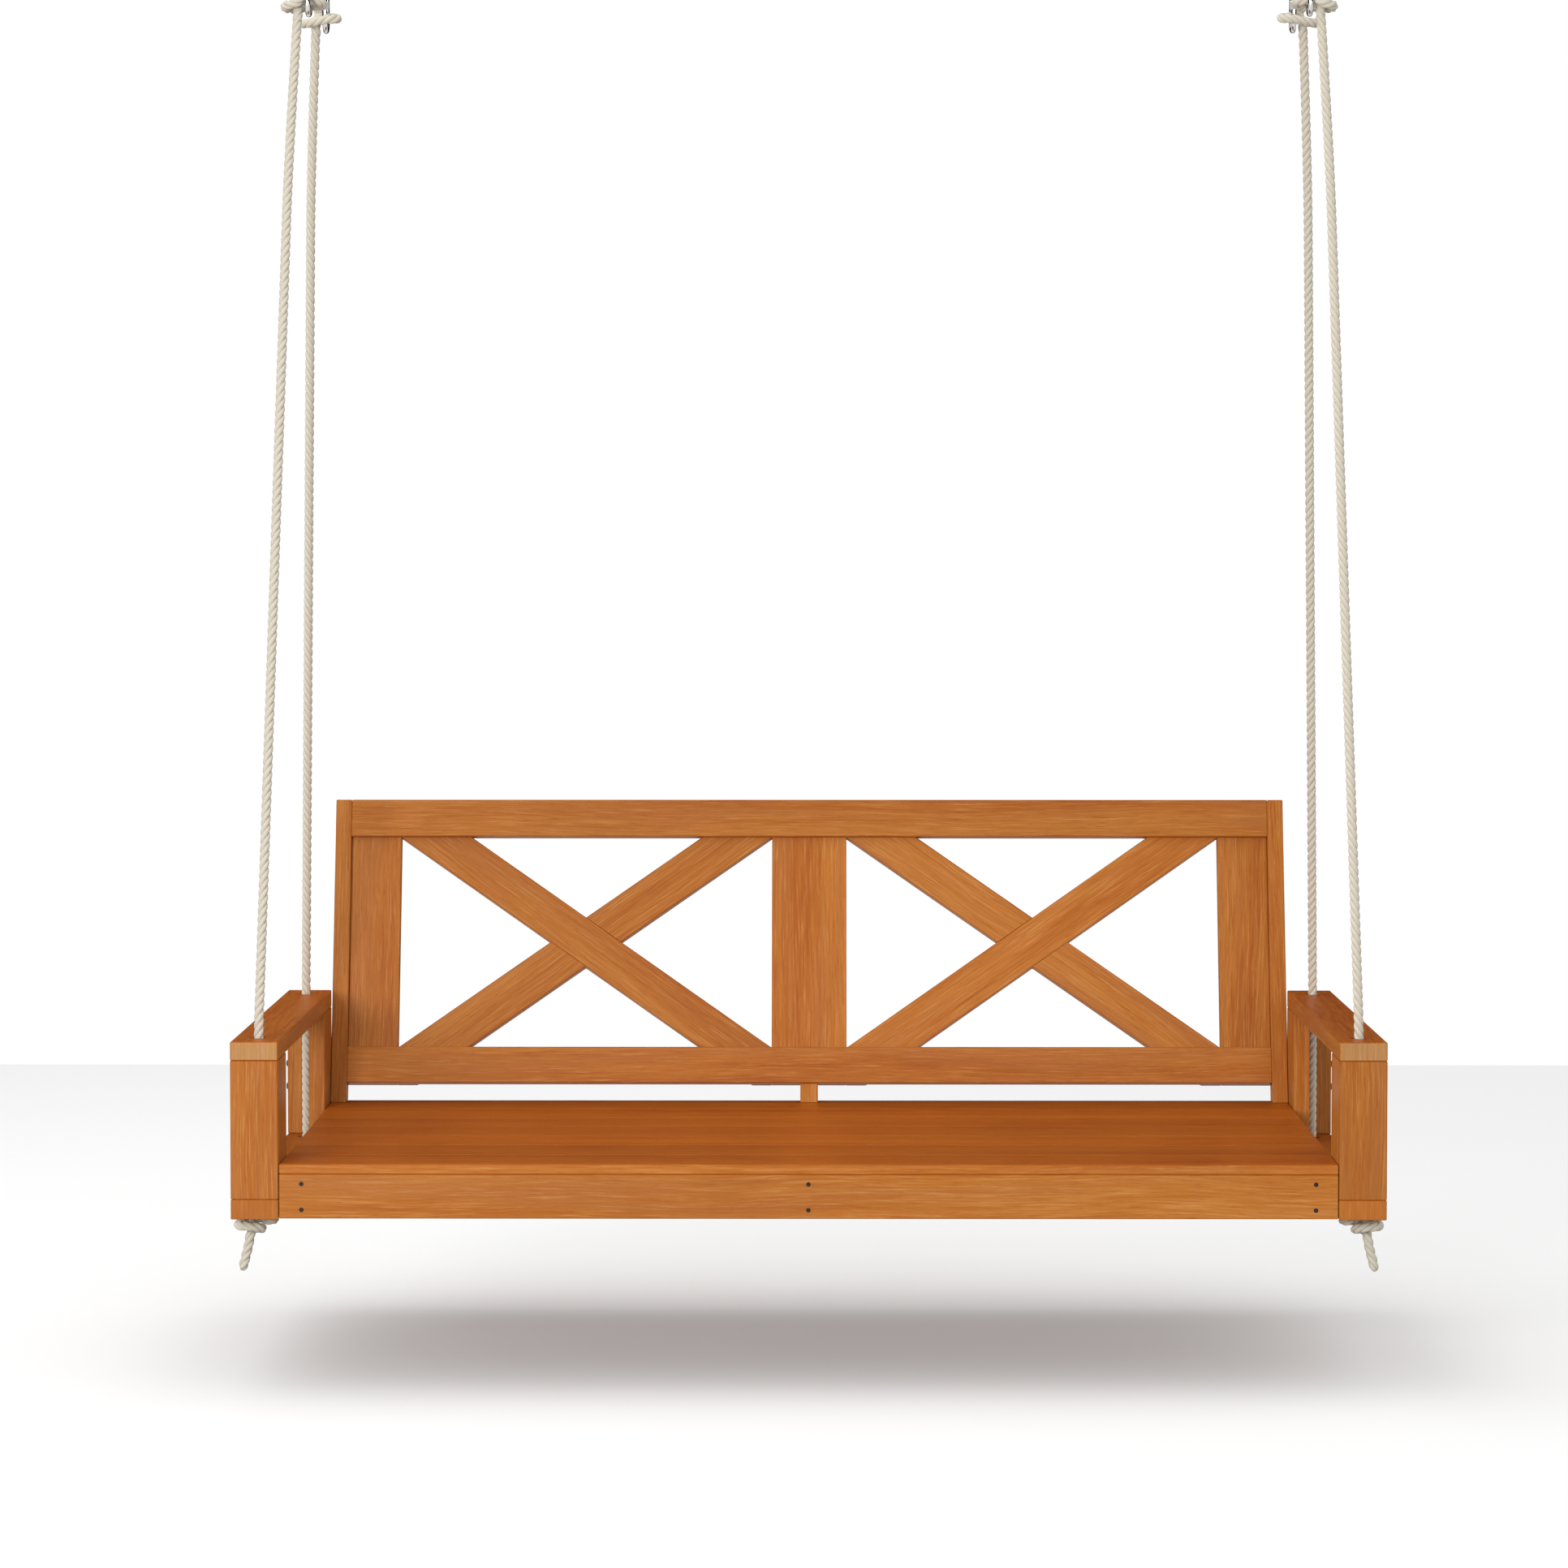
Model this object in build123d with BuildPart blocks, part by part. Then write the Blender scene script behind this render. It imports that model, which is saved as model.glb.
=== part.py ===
from build123d import *
from math import asin, atan2, cos, degrees, hypot, radians, sin, tan
import os

os.makedirs("parts", exist_ok=True)

# A porch swing for two or three people. X runs across the bench, -Y is its front, +Z is up.
# The origin is on the ceiling, at the centre of the four eye bolts that the swing hangs from.

# ---- Bench: arms ----
overall_width = 1600.0          # across both arms
bench_depth = 808.0             # front to back, along the arms
arm_height = 247.0              # underside of the sills to the top of the arms
arm_width = 66.0
arm_thickness = 26.0
sill_thickness = 28.0
post_face_thickness = 20.0      # the post board that closes the end of the arm
post_side_thickness = 24.0      # the post board beside the seat
post_depth = 116.0              # both post boards together, front to back
edge_bevel = 1.2

# ---- Bench: seat ----
seat_height = 77.0              # underside of the sills to the top of the seat
plank_count = 7
plank_thickness = 13.5
plank_gap = 1.0
seat_side_gap = 1.0             # between the seat and each arm
apron_height = 62.0
apron_thickness = 22.0
bearer_width = 64.0

# ---- Bench: back ----
back_recline = 15.28            # degrees from upright
back_length = 475.0             # up the slope, from the seat
back_foot_inset = 34.1          # rear of the bench to the front of the back's foot
back_side_gap = 0.5             # between the back and each arm
back_post_width = 24.5
back_post_depth = 33.0
top_rail_width = 58.0
bottom_rail_width = 56.0
bottom_rail_rise = 31.0         # clear height under the bottom rail, up the slope
rail_thickness = 18.0
stile_thickness = 18.0
stile_recess = 8.0              # stiles and braces sit this far behind the rails' faces
side_stile_width = 77.5
centre_stile_width = 115.0
brace_width = 63.0
support_width = 27.0
support_recess = 2.0

# ---- Screws ----
apron_screw_rises = (12.2, 48.2)    # above the apron's lower edge
apron_screw_length = 50.0
side_screw_rise = 36.0              # above the sill's underside
side_screw_insets = (38.0, 96.0)    # from the end of the arm
side_screw_grip = 40.0              # into the bearer
back_screw_rises = (100.0, 135.0)   # above the sill's underside
back_screw_grip = 18.0              # into the back post
sill_screw_insets = (108.0, 10.0)   # from the end of the arm: side board, face board
sill_screw_grip = 40.0              # into the post
plank_screw_sink = 30.0             # depth of the counterbore under a bearer
plank_screw_grip = 9.0              # into the plank
plank_screw_step = 15.0             # beside the bearer's centre line, clear of the apron screws
plank_screw_radius = 2.0
counterbore_radius = 6.5

frame_screw = (2.5, 5.0, 2.4)       # radius of the shank and of the head, and the head's height
sill_screw = (2.5, 4.5, 2.0)        # the same for the screws up through a sill

# ---- Ropes and knots ----
rope_diameter = 14.0
rope_hole_diameter = 25.0
rope_hole_inset = 62.0          # rope hole centre from the end of the arm
rope_drop = 1512.0              # hanging pivot down to the top of the arms
rope_joint_gap = 2.5            # between the hanging rope and its leg in the arm, over the pivot
rope_leg_clearance = 1.0        # the leg stops this far below the top of the arm
rope_side_step = 15.0           # the rope runs this far outboard of its link, at the hitch
rope_bend_step = 26.0           # and this far where it starts to bend in towards the hitch
rope_bend_length = 200.0        # from that bend up to the hitch
rope_sink = 3.0                 # rope end let into its hitch
stopper_width = 58.0
stopper_depth = 48.0
stopper_height = 22.0
stopper_shift = 2.0             # the stopper knot lies this far outboard of its hole
stopper_rounding = 9.0
stopper_corner = 21.0
tail_points = ((11.0, 0.0, 12.0), (13.5, 0.5, 40.0), (23.4, 2.0, 79.0))  # outboard, outward, down
hitch_width = 56.0
hitch_depth = 70.0
hitch_height = 26.0
hitch_rise = 9.0                # above the lower end of the link
hitch_shift = 7.5               # the hitch lies this far outboard of its link
hitch_rounding = 11.0
hitch_tail_step = 16.0          # the rope's cut end stands up beside the link, this far outboard
hitch_tail_inset = 11.0         # and this far away from the middle of the bench
hitch_corner = 24.0
hitch_tail_rise = 12.0          # above the hitch

# ---- Hangers ----
hanger_spacing_x = 1421.0
hanger_spacing_y = 248.0
eye_wire = 10.0
eye_inner_diameter = 26.0
eye_collar_radius = 12.0
eye_collar_height = 6.0
eye_neck_radius = 7.0
eye_shank_radius = 5.0
eye_shank_length = 50.0
link_wire = 8.0
link_width = 42.0
link_height = 92.0
front_link_play = 0.5           # under the top of the link, over the eye's wire
rear_link_play = 1.8            # the same at the rear, where the four-bar loop is open
link_mouth = 7.0                # gap in the link's bar, covered by its sleeve nut
nut_length = 12.0
nut_across_flats = 13.0
nut_bore_clearance = 0.3
nut_bevel = 0.8
nut_rise = 36.0                 # above the lower end of the link

# ---- Derived places ----
eye_radius = eye_inner_diameter / 2 + eye_wire / 2
eye_centre_z = -(eye_collar_height + eye_radius + eye_wire / 2)
pivot_z = eye_centre_z - eye_radius
arm_top_z = pivot_z - rope_drop
base_z = arm_top_z - arm_height
hanger_x = hanger_spacing_x / 2
hanger_y = hanger_spacing_y / 2

front_y = -bench_depth / 2
arm_x = (overall_width - arm_width) / 2
arm_inner_x = overall_width / 2 - arm_width
sill_top_z = base_z + sill_thickness
post_height = arm_height - sill_thickness - arm_thickness
rope_y = bench_depth / 2 - rope_hole_inset
rope_lean = atan2(rope_y - hanger_y, rope_drop)

seat_z = base_z + seat_height
frame_top_z = seat_z - plank_thickness
frame_bottom_z = frame_top_z - apron_height
seat_half_width = arm_inner_x - seat_side_gap
bearer_places = (bearer_width / 2 - arm_inner_x, 0.0, arm_inner_x - bearer_width / 2)
plank_pitch = (bench_depth + plank_gap) / plank_count
plank_width = plank_pitch - plank_gap
plank_places = [front_y + plank_width / 2 + n * plank_pitch for n in range(plank_count)]

slope = radians(back_recline)
back_plane = Plane(
    origin=(0, bench_depth / 2 - back_foot_inset, seat_z), x_dir=(1, 0, 0), z_dir=(0, -cos(slope), sin(slope))
)
back_half_width = arm_inner_x - back_side_gap
rail_half_width = back_half_width - back_post_width
top_rail_low = back_length - top_rail_width
bottom_rail_top = bottom_rail_rise + bottom_rail_width
opening_left = centre_stile_width / 2
opening_right = rail_half_width - side_stile_width
opening_width = opening_right - opening_left
opening_height = top_rail_low - bottom_rail_top
opening_x = (opening_left + opening_right) / 2
opening_rise = (top_rail_low + bottom_rail_top) / 2
opening_diagonal = hypot(opening_width, opening_height)
brace_angle = degrees(atan2(opening_height, opening_width) + asin(brace_width / opening_diagonal))

sides = (("left", -1), ("right", 1))
ends = (("front", -1), ("rear", 1))
link_play = {"front": front_link_play, "rear": rear_link_play}


def save(piece, name):
    """Labels a finished piece and writes it to its own STEP file."""
    piece.part.label = name
    export_step(piece.part, f"parts/{name}.step")


def screw(length, shank_radius=2.0, head_radius=3.0, head_height=1.2):
    """A screw with a low domed head on Z = 0 and its shank down the -Z axis."""
    dome = head_height / 2
    with BuildPart() as one_screw:
        with BuildSketch(Plane.XZ):
            with BuildLine():
                Polyline(
                    (0, head_height), (head_radius - dome, head_height), (head_radius, dome),
                    (head_radius, 0), (shank_radius, 0), (shank_radius, shank_radius - length),
                    (0, -length), (0, head_height)
                )
            make_face()
        revolve(axis=Axis.Z)
    return one_screw.part


def corner_radius(before, corner, after):
    """The rope's bend radius at a corner of its route: as large as its two runs allow."""
    run_in = Vector(corner) - Vector(before)
    run_out = Vector(after) - Vector(corner)
    half_turn = radians(run_in.get_angle(run_out)) / 2
    return 0.45 * min(run_in.length, run_out.length) / tan(half_turn)


# ---- Screws, first, because the boards take their holes from them ----
with BuildPart() as apron_screws:
    places = [(x, frame_bottom_z + rise) for x in bearer_places for rise in apron_screw_rises]
    with Locations(*[Location((x, front_y, z), (90, 0, 0)) for x, z in places]):
        add(screw(apron_screw_length))
    with Locations(*[Location((x, -front_y, z), (-90, 0, 0)) for x, z in places]):
        add(screw(apron_screw_length))
save(apron_screws, "apron_screws")

with BuildPart() as side_screws:
    side_board_x = arm_inner_x + post_side_thickness
    for side, sx in sides:
        for end, sy in ends:
            with Locations(
                *[
                    Location(
                        (sx * side_board_x, sy * (bench_depth / 2 - inset), base_z + side_screw_rise),
                        (0, sx * 90, 0),
                    )
                    for inset in side_screw_insets
                ]
            ):
                add(screw(post_side_thickness + side_screw_grip, *frame_screw))
save(side_screws, "side_screws")

with BuildPart() as back_screws:
    face_board_y = bench_depth / 2 - post_face_thickness / 2
    for side, sx in sides:
        with Locations(
            *[
                Location((sx * overall_width / 2, face_board_y, base_z + rise), (0, sx * 90, 0))
                for rise in back_screw_rises
            ]
        ):
            add(screw(arm_width + back_screw_grip, *frame_screw))
save(back_screws, "back_screws")

with BuildPart() as sill_screws:
    sill_screw_places = (
        (arm_inner_x + post_side_thickness / 2, sill_screw_insets[0]),
        (arm_inner_x + (post_side_thickness + arm_width) / 2, sill_screw_insets[1]),
    )
    for side, sx in sides:
        for end, sy in ends:
            with Locations(
                *[
                    Location((sx * x, sy * (bench_depth / 2 - inset), base_z), (180, 0, 0))
                    for x, inset in sill_screw_places
                ]
            ):
                add(screw(sill_thickness + sill_screw_grip, *sill_screw))
save(sill_screws, "sill_screws")

with BuildPart() as plank_screws:
    plank_screw_z = frame_bottom_z + plank_screw_sink
    with Locations(
        *[
            Location((x + plank_screw_step, y, plank_screw_z), (180, 0, 0))
            for x in bearer_places
            for y in plank_places
        ]
    ):
        add(screw(apron_height - plank_screw_sink + plank_screw_grip, plank_screw_radius, 4.0, 2.0))
save(plank_screws, "plank_screws")

# ---- Arms: a top board and a sill, held apart by an L of two boards at each end ----
for side, sx in sides:
    with BuildPart() as arm_board:
        with BuildSketch(Plane.XY.offset(arm_top_z)):
            with Locations((sx * arm_x, 0)):
                Rectangle(arm_width, bench_depth)
            with Locations((sx * arm_x, -rope_y), (sx * arm_x, rope_y)):
                Circle(rope_hole_diameter / 2, mode=Mode.SUBTRACT)
        extrude(amount=-arm_thickness)
        chamfer(arm_board.edges(), edge_bevel)
    save(arm_board, f"arm_board_{side}")

    with BuildPart() as arm_sill:
        with BuildSketch(Plane.XY.offset(base_z)):
            with Locations((sx * arm_x, 0)):
                Rectangle(arm_width, bench_depth)
            with Locations((sx * arm_x, -rope_y), (sx * arm_x, rope_y)):
                Circle(rope_hole_diameter / 2, mode=Mode.SUBTRACT)
        extrude(amount=sill_thickness)
        chamfer(arm_sill.edges(), edge_bevel)
        add(sill_screws.part, mode=Mode.SUBTRACT)
    save(arm_sill, f"arm_sill_{side}")

    for end, sy in ends:
        with BuildPart() as post_face:
            with BuildSketch(Plane.XY.offset(sill_top_z)):
                with Locations((sx * arm_x, sy * (bench_depth - post_face_thickness) / 2)):
                    Rectangle(arm_width, post_face_thickness)
            extrude(amount=post_height)
            chamfer(post_face.edges(), edge_bevel)
            add(sill_screws.part, mode=Mode.SUBTRACT)
            add(back_screws.part, mode=Mode.SUBTRACT)
        save(post_face, f"post_face_{end}_{side}")

        with BuildPart() as post_side:
            side_board_depth = post_depth - post_face_thickness
            side_board_y = bench_depth / 2 - post_face_thickness - side_board_depth / 2
            with BuildSketch(Plane.XY.offset(sill_top_z)):
                with Locations((sx * (arm_inner_x + post_side_thickness / 2), sy * side_board_y)):
                    Rectangle(post_side_thickness, side_board_depth)
            extrude(amount=post_height)
            chamfer(post_side.edges(), edge_bevel)
            add(sill_screws.part, mode=Mode.SUBTRACT)
            add(side_screws.part, mode=Mode.SUBTRACT)
        save(post_side, f"post_side_{end}_{side}")

# ---- Seat frame: an apron at the front and the rear, and three bearers between them ----
for end, sy in ends:
    with BuildPart() as apron:
        with BuildSketch(Plane.XY.offset(frame_bottom_z)):
            with Locations((0, sy * (bench_depth - apron_thickness) / 2)):
                Rectangle(2 * seat_half_width, apron_thickness)
        extrude(amount=apron_height)
        chamfer(apron.edges(), edge_bevel)
        add(apron_screws.part, mode=Mode.SUBTRACT)
    save(apron, f"apron_{end}")

for name, x in zip(("left", "centre", "right"), bearer_places):
    with BuildPart() as bearer:
        with BuildSketch(Plane.XY.offset(frame_bottom_z)):
            with Locations((x, 0)):
                Rectangle(bearer_width, bench_depth - 2 * apron_thickness)
        extrude(amount=apron_height)
        chamfer(bearer.edges(), edge_bevel)
        with Locations(
            *[Location((x + plank_screw_step, y, frame_bottom_z), (180, 0, 0)) for y in plank_places]
        ):
            CounterBoreHole(plank_screw_radius, counterbore_radius, plank_screw_sink, apron_height)
        add(apron_screws.part, mode=Mode.SUBTRACT)
        add(side_screws.part, mode=Mode.SUBTRACT)
    save(bearer, f"bearer_{name}")

for number, y in enumerate(plank_places, start=1):
    with BuildPart() as plank:
        with BuildSketch(Plane.XY.offset(frame_top_z)):
            with Locations((0, y)):
                Rectangle(2 * seat_half_width, plank_width)
        extrude(amount=plank_thickness)
        chamfer(plank.edges(), edge_bevel)
        add(plank_screws.part, mode=Mode.SUBTRACT)
    save(plank, f"seat_plank_{number}")

# ---- Back: posts and rails flush at the front, stiles and crossed braces lapped behind the rails ----
for side, sx in sides:
    with BuildPart() as back_post:
        with BuildSketch(back_plane):
            with Locations((sx * (back_half_width - back_post_width / 2), back_length / 2)):
                Rectangle(back_post_width, back_length)
        extrude(amount=-back_post_depth)
        split(bisect_by=Plane.XY.offset(seat_z), keep=Keep.TOP)
        chamfer(back_post.edges(), edge_bevel)
        add(back_screws.part, mode=Mode.SUBTRACT)
    save(back_post, f"back_post_{side}")

for name, low, width in (
    ("bottom", bottom_rail_rise, bottom_rail_width),
    ("top", top_rail_low, top_rail_width),
):
    with BuildPart() as back_rail:
        with BuildSketch(back_plane):
            with Locations((0, low + width / 2)):
                Rectangle(2 * rail_half_width, width)
        extrude(amount=-rail_thickness)
        chamfer(back_rail.edges(), edge_bevel)
    save(back_rail, f"back_rail_{name}")

with BuildPart() as back_support:
    with BuildSketch(back_plane.offset(-support_recess)):
        with Locations((0, bottom_rail_rise / 2)):
            Rectangle(support_width, bottom_rail_rise)
    extrude(amount=support_recess - rail_thickness)
    split(bisect_by=Plane.XY.offset(seat_z), keep=Keep.TOP)
    chamfer(back_support.edges(), edge_bevel)
save(back_support, "back_support")


with BuildPart() as rail_laps:
    with BuildSketch(back_plane):
        with Locations((0, top_rail_low + top_rail_width / 2)):
            Rectangle(overall_width, top_rail_width)
        with Locations((0, bottom_rail_rise + bottom_rail_width / 2)):
            Rectangle(overall_width, bottom_rail_width)
    extrude(amount=-rail_thickness)

stile_length = back_length - bottom_rail_rise
side_stile_x = rail_half_width - side_stile_width / 2
for name, x, width in (
    ("left", -side_stile_x, side_stile_width),
    ("centre", 0.0, centre_stile_width),
    ("right", side_stile_x, side_stile_width),
):
    with BuildPart() as back_stile:
        with BuildSketch(back_plane.offset(-stile_recess)):
            with Locations((x, bottom_rail_rise + stile_length / 2)):
                Rectangle(width, stile_length)
        extrude(amount=-stile_thickness)
        chamfer(back_stile.edges(), edge_bevel)
        add(rail_laps.part, mode=Mode.SUBTRACT)
    save(back_stile, f"back_stile_{name}")

brace_run = 2 * opening_diagonal
for side, sx in sides:
    for layer in ("fore", "lapped"):
        turn = sx if layer == "fore" else -sx
        with BuildPart() as brace:
            with BuildSketch(back_plane.offset(-stile_recess)):
                with Locations(Location((sx * opening_x, opening_rise, 0), (0, 0, turn * brace_angle))):
                    Rectangle(brace_run, brace_width)
            extrude(amount=-stile_thickness)
            chamfer(brace.edges(), edge_bevel)
            with BuildSketch(back_plane):
                with Locations((sx * opening_x, bottom_rail_rise + stile_length / 2)):
                    Rectangle(opening_width, stile_length)
            extrude(amount=-back_post_depth, mode=Mode.INTERSECT)
            add(rail_laps.part, mode=Mode.SUBTRACT)
            notch_start = stile_recess + (stile_thickness / 2 if layer == "fore" else 0)
            with BuildSketch(back_plane.offset(-notch_start)):
                with Locations(Location((sx * opening_x, opening_rise, 0), (0, 0, -turn * brace_angle))):
                    Rectangle(brace_run, brace_width)
            extrude(amount=-stile_thickness / 2, mode=Mode.SUBTRACT)
        save(brace, f"brace_{layer}_{side}")

# ---- Eye bolts: a ring below the ceiling, a collar against it and a shank up into it ----
with BuildPart() as eye_bolt:
    with BuildSketch(Plane.YZ):
        with Locations((0, pivot_z)):
            Circle(eye_wire / 2)
    revolve(axis=Axis((0, 0, eye_centre_z), (0, 1, 0)))
    with BuildSketch():
        Circle(eye_collar_radius)
    extrude(amount=-eye_collar_height)
    chamfer(eye_bolt.edges().group_by(Axis.Z)[-1], edge_bevel)
    with BuildSketch(Plane.XY.offset(-eye_collar_height)):
        Circle(eye_neck_radius)
    extrude(amount=-eye_wire * 0.8)
    with BuildSketch():
        Circle(eye_shank_radius)
    extrude(amount=eye_shank_length)

with BuildPart() as eye_bolts:
    with GridLocations(hanger_spacing_x, hanger_spacing_y, 2, 2):
        add(eye_bolt.part)
save(eye_bolts, "eye_bolts")


def rope_point(end_sign, x, rise):
    """A point on the line that a rope hangs along, the given height above the top of the arm."""
    return (x, end_sign * (rope_y - rise * tan(rope_lean)), arm_top_z + rise)


link_radius = (link_width - link_wire) / 2
for end, sy in ends:
    up = (0, -sy * sin(rope_lean), cos(rope_lean))
    across = (0, cos(rope_lean), sy * sin(rope_lean))
    link_top = eye_wire / 2 + link_play[end] + link_wire
    link_bottom = link_top - link_height
    upper_bend = link_top - link_width / 2
    lower_bend = link_bottom + link_width / 2
    nut_low = link_bottom + nut_rise
    mouth_low = nut_low + (nut_length - link_mouth) / 2
    nut_bar = -sy * link_radius
    hitch_low = link_bottom + hitch_rise
    hitch_top = hitch_low + hitch_height

    with BuildPart() as links:
        for side, sx in sides:
            hang = Plane(origin=(sx * hanger_x, sy * hanger_y, pivot_z), x_dir=across, z_dir=(1, 0, 0))
            with BuildLine(hang) as loop:
                Line((nut_bar, mouth_low), (nut_bar, lower_bend))
                ThreePointArc((nut_bar, lower_bend), (0, lower_bend - link_radius), (-nut_bar, lower_bend))
                Line((-nut_bar, lower_bend), (-nut_bar, upper_bend))
                ThreePointArc((-nut_bar, upper_bend), (0, upper_bend + link_radius), (nut_bar, upper_bend))
                Line((nut_bar, upper_bend), (nut_bar, mouth_low + link_mouth))
            with BuildSketch(Plane(origin=loop.line @ 0, z_dir=loop.line % 0)):
                Circle(link_wire / 2)
            sweep(path=loop.line)
    save(links, f"links_{end}")

    with BuildPart() as hitches:
        for side, sx in sides:
            hang = Plane(origin=(sx * hanger_x, sy * hanger_y, pivot_z), x_dir=(1, 0, 0), z_dir=up)
            with BuildSketch(hang.offset(hitch_low)):
                with Locations((sx * hitch_shift, 0)):
                    RectangleRounded(hitch_width, hitch_depth, hitch_corner)
            extrude(amount=hitch_height)
        fillet(hitches.faces().filter_by(Plane(origin=(0, 0, 0), z_dir=up)).edges(), hitch_rounding)
        for side, sx in sides:
            hang = Plane(origin=(sx * hanger_x, sy * hanger_y, pivot_z), x_dir=(1, 0, 0), z_dir=up)
            with BuildSketch(hang.offset(hitch_top - hitch_rounding)):
                with Locations((sx * hitch_tail_step, sy * hitch_tail_inset)):
                    Circle(rope_diameter / 2)
            extrude(amount=hitch_rounding + hitch_tail_rise)
    save(hitches, f"hitches_{end}")

    for side, sx in sides:
        hang = Plane(origin=(sx * hanger_x, sy * hanger_y, pivot_z), x_dir=across, z_dir=(1, 0, 0))
        with BuildPart() as nut:
            with BuildSketch(Plane(origin=hang.from_local_coords((nut_bar, nut_low, 0)), z_dir=up)):
                RegularPolygon(nut_across_flats / 2, 6, major_radius=False)
                Circle(link_wire / 2 + nut_bore_clearance, mode=Mode.SUBTRACT)
            extrude(amount=nut_length)
            chamfer(nut.edges().filter_by(GeomType.LINE).group_by(Edge.length)[0], nut_bevel)
        save(nut, f"link_nut_{end}_{side}")

        start = rope_point(sy, sx * arm_x, rope_joint_gap)
        hitch_rise_z = rope_drop + hitch_low * cos(rope_lean) + rope_sink
        bend = rope_point(sy, sx * (hanger_x + rope_bend_step), hitch_rise_z - rope_bend_length)
        top = rope_point(sy, sx * (hanger_x + rope_side_step), hitch_rise_z)
        bend_radius = corner_radius(start, bend, top)
        with BuildPart() as rope:
            with BuildLine() as route:
                FilletPolyline(start, bend, top, radius=bend_radius)
            with BuildSketch(Plane(origin=route.line @ 0, z_dir=route.line % 0)):
                Circle(rope_diameter / 2)
            sweep(path=route.line)
        save(rope, f"rope_{end}_{side}")
        print(f"rope_{end}_{side}: bend radius {bend_radius:.0f} mm, length {route.wires()[0].length:.1f} mm")

        with BuildPart() as rope_leg:
            with BuildSketch(Plane.XY.offset(base_z)):
                with Locations((sx * arm_x, sy * rope_y)):
                    Circle(rope_diameter / 2)
            extrude(amount=arm_height - rope_leg_clearance)
        save(rope_leg, f"rope_leg_{end}_{side}")

    # Stopper knots under the sills, each with the short tail of its rope
    with BuildPart() as stopper_knots:
        for side, sx in sides:
            with BuildSketch(Plane.XY.offset(base_z)):
                with Locations((sx * (arm_x + stopper_shift), sy * rope_y)):
                    RectangleRounded(stopper_width, stopper_depth, stopper_corner)
            extrude(amount=-stopper_height)
        fillet(stopper_knots.faces().sort_by(Axis.Z)[:2].edges(), stopper_rounding)
        for side, sx in sides:
            tail = [
                (sx * (arm_x + out), sy * (rope_y + back), base_z - down)
                for out, back, down in tail_points
            ]
            tail_radius = corner_radius(*tail)
            with BuildLine() as tail_route:
                FilletPolyline(*tail, radius=tail_radius)
            with BuildSketch(Plane(origin=tail_route.line @ 0, z_dir=tail_route.line % 0)):
                Circle(rope_diameter / 2)
            sweep(path=tail_route.line)
            print(f"tail {end} {side}: bend radius {tail_radius:.0f} mm")
    save(stopper_knots, f"stopper_knots_{end}")
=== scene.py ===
"""Looks for a hanging porch bench: oiled hardwood, three-strand ropes, plated links and black screws."""

from __future__ import annotations

import logging
import math
from dataclasses import dataclass
from enum import Enum
from typing import Sequence

import bpy
import numpy as np
from mathutils import Matrix, Vector

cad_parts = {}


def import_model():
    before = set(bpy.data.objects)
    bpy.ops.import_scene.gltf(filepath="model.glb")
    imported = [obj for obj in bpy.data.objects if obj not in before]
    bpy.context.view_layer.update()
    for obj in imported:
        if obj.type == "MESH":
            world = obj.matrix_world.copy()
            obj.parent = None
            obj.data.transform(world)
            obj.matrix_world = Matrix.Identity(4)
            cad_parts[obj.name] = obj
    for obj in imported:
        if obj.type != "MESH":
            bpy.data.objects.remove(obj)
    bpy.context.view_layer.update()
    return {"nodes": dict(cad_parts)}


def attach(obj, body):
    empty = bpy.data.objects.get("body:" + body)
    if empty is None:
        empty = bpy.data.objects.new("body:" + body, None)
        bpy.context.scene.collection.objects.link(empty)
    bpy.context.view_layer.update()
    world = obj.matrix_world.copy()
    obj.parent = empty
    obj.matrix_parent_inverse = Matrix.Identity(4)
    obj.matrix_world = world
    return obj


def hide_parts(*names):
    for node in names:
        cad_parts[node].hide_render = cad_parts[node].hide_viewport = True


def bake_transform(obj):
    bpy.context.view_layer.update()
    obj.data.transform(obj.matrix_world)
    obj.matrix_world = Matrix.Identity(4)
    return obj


LOG = logging.getLogger("porch_swing")
MM = 0.001
Rgb = tuple[float, float, float]
Colour = tuple[float, float, float, float]
Point = tuple[float, float, float]


class Grain(Enum):
    """Which way the grain of a board runs."""

    ACROSS = "across"
    DEPTH = "depth"
    UPRIGHT = "upright"
    SLOPE = "slope"
    BACK_ACROSS = "back_across"
    RISING = "rising"
    FALLING = "falling"


class Side(Enum):
    """The two sides of the bench, with the sign of X on each."""

    LEFT = -1
    RIGHT = 1


class End(Enum):
    """The two ends of an arm, with the sign of Y on each."""

    FRONT = -1
    REAR = 1


# ---------------------------------------------------------------- node helpers


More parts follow.
